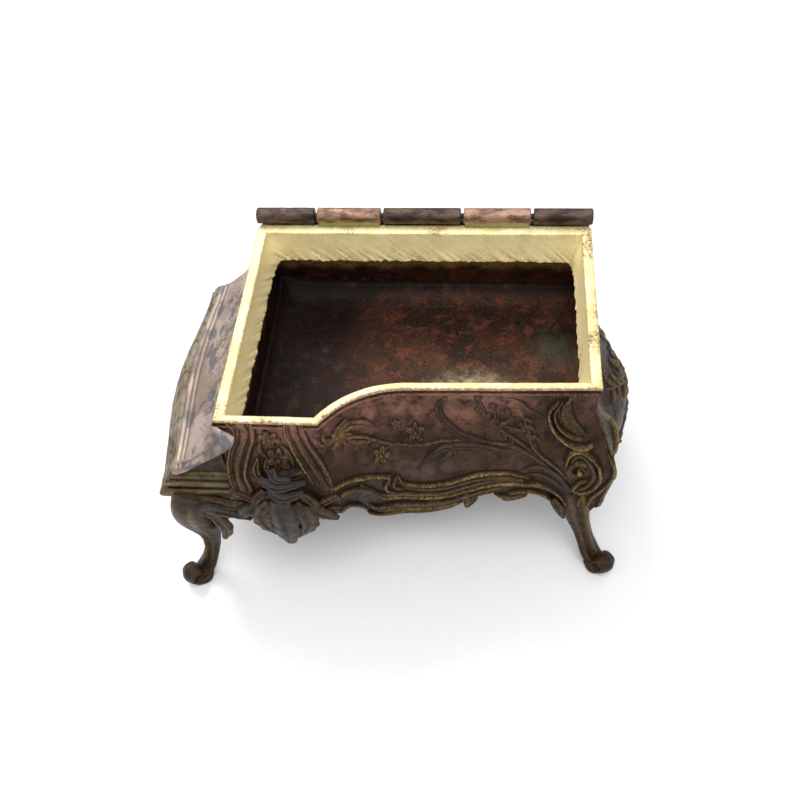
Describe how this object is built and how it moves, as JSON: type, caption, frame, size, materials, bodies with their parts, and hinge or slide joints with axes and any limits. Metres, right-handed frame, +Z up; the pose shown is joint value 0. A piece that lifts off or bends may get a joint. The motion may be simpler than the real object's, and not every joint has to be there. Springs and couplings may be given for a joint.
{
  "type": "vanity trinket box",
  "caption": "Cast-metal vanity trinket box shaped like a grand piano, with cabriole legs, a gilt rim and a lid on a knuckle hinge.",
  "frame": {"origin": "bottom centre of the whole part's bounding box with the lid hanging open, on the surface that it stands on", "axes": "+Z up; +X along the hinge, from the keyboard end towards the tail; +Y from the front panel towards the hinge"},
  "size_m": [0.127, 0.0978, 0.0762],
  "materials": {
    "patinated_copper": "brownish pink copper plate with dark patina",
    "dark_bronze": "dark olive bronze patina with brass highlights",
    "pale_gilt": "pale worn gilding with specks",
    "rose_copper": "pink copper with verdigris and solder",
    "grey_copper": "worn pinkish grey plate with blue-grey tarnish",
    "dark_steel": "dark wire"
  },
  "bodies": {
    "case": {"case_shell": "patinated_copper", "rim_collar": "pale_gilt", "floor_plate": "dark_bronze", "keyboard_cover": "grey_copper", "end_cheek_front": "patinated_copper", "end_cheek_back": "patinated_copper", "keybed": "dark_bronze", "cheek_mount": "grey_copper", "leg_front_left": "dark_bronze", "leg_front_right": "dark_bronze", "leg_back_left": "dark_bronze", "leg_back_right": "dark_bronze", "hinge_knuckle_case_left": "rose_copper", "hinge_knuckle_case_right": "rose_copper", "hinge_pin": "dark_steel"},
    "lid": {"lid_plate": "patinated_copper", "hinge_knuckle_lid_left": "dark_bronze", "hinge_knuckle_lid_centre": "dark_bronze", "hinge_knuckle_lid_right": "dark_bronze"}
  },
  "joints": [
    {"name": "lid_hinge", "type": "hinge", "parent": "case", "child": "lid", "pos_m": [0.00615, 0.03076, 0.0739], "axis": [1, 0, 0], "range_deg": [0, 256]}
  ]
}
